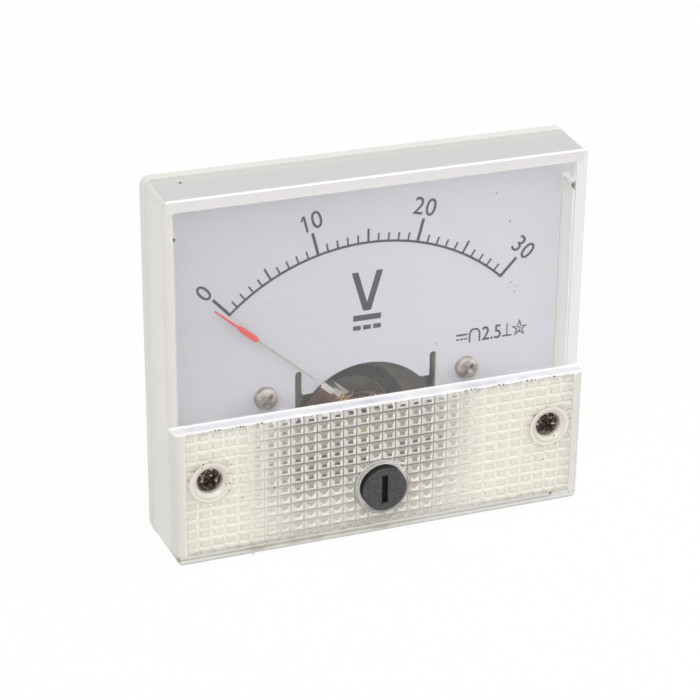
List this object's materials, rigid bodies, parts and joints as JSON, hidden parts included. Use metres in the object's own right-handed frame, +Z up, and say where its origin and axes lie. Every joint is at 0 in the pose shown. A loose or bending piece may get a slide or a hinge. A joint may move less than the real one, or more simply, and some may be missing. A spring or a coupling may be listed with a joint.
{
  "type": "analog panel meter",
  "caption": "Square-faced moving-coil panel meter with a clear cover, a printed arc scale, a swinging needle and a round rear case for a panel cut-out.",
  "frame": {"origin": "centre of the flange's back face, where it lies against the panel", "axes": "+Z up, the dial looks along -Y, and +Y points through the panel to the terminals"},
  "size_m": [0.064, 0.05, 0.056],
  "materials": {
    "front_cover": "clear, moulded, with a waffle pattern inside the lower band",
    "base": "cream moulded plastic",
    "dial_plate": "pale satin print",
    "dial_scale": "dark grey print",
    "dial_screws": "bright",
    "dial_posts": "turned",
    "cover_screws": "blackened, rusty",
    "zero_adjuster": "black moulded",
    "zero_lever": "stamped",
    "yoke": "dark sintered iron",
    "core_magnet": "ground",
    "core_holder": "stamped",
    "coil_former": "bare",
    "coil_winding": "enamelled copper wire",
    "pointer": "silver with a red end",
    "pointer_hub": "bare",
    "balance_weights": "tinned wire",
    "front_pivot": "polished",
    "rear_pivot": "polished",
    "hairspring_front": "bronze strip",
    "hairspring_rear": "bronze strip",
    "front_bridge": "bare",
    "rear_bridge": "bare",
    "bridge_pillars": "turned",
    "bridge_screws": "bright",
    "jewel_screws": "turned",
    "jewel_nuts": "bright",
    "movement_screws": "bright",
    "terminal_studs": "turned",
    "terminal_nuts": "turned",
    "terminal_washers": "plated",
    "solder_lugs": "tinned",
    "mounting_studs": "turned",
    "mounting_nuts": "turned",
    "mounting_washers": "plated",
    "series_resistor": "painted",
    "lead_wire": "insulated wire"
  },
  "bodies": {
    "case": {"front_cover": "front_cover", "base": "base", "dial_plate": "dial_plate", "dial_scale": "dial_scale", "dial_screws": "dial_screws", "dial_posts": "dial_posts", "cover_screws": "cover_screws", "yoke": "yoke", "core_magnet": "core_magnet", "core_holder": "core_holder", "hairspring_rear": "hairspring_rear", "front_bridge": "front_bridge", "rear_bridge": "rear_bridge", "bridge_pillars": "bridge_pillars", "bridge_screws": "bridge_screws", "jewel_screws": "jewel_screws", "jewel_nuts": "jewel_nuts", "movement_screws": "movement_screws", "terminal_studs": "terminal_studs", "terminal_nuts": "terminal_nuts", "terminal_washers": "terminal_washers", "solder_lugs": "solder_lugs", "mounting_studs": "mounting_studs", "mounting_nuts": "mounting_nuts", "mounting_washers": "mounting_washers", "series_resistor": "series_resistor", "lead_wire": "lead_wire"},
    "adjuster": {"zero_adjuster": "zero_adjuster"},
    "lever": {"zero_lever": "zero_lever", "hairspring_front": "hairspring_front"},
    "moving_coil": {"coil_former": "coil_former", "coil_winding": "coil_winding", "pointer": "pointer", "pointer_hub": "pointer_hub", "balance_weights": "balance_weights", "front_pivot": "front_pivot", "rear_pivot": "rear_pivot"}
  },
  "joints": [
    {"name": "adjuster_turn", "type": "hinge", "parent": "case", "child": "adjuster", "pos_m": [0, 0, -0.0201], "axis": [0, 1, 0], "range_deg": [-40, 40]},
    {"name": "lever_swing", "type": "hinge", "parent": "case", "child": "lever", "pos_m": [0, 0, -0.0148], "axis": [0, 1, 0], "range_deg": [-8.5, 8.5]},
    {"name": "pointer_swing", "type": "hinge", "parent": "lever", "child": "moving_coil", "pos_m": [0, 0, -0.0148], "axis": [0, 1, 0], "range_deg": [-1.5, 89.5], "stiffness_Nm_per_rad": 0.00002}
  ],
  "couplings": [
    {"joint": "lever_swing", "follows": "adjuster_turn", "ratio": -0.21}
  ]
}
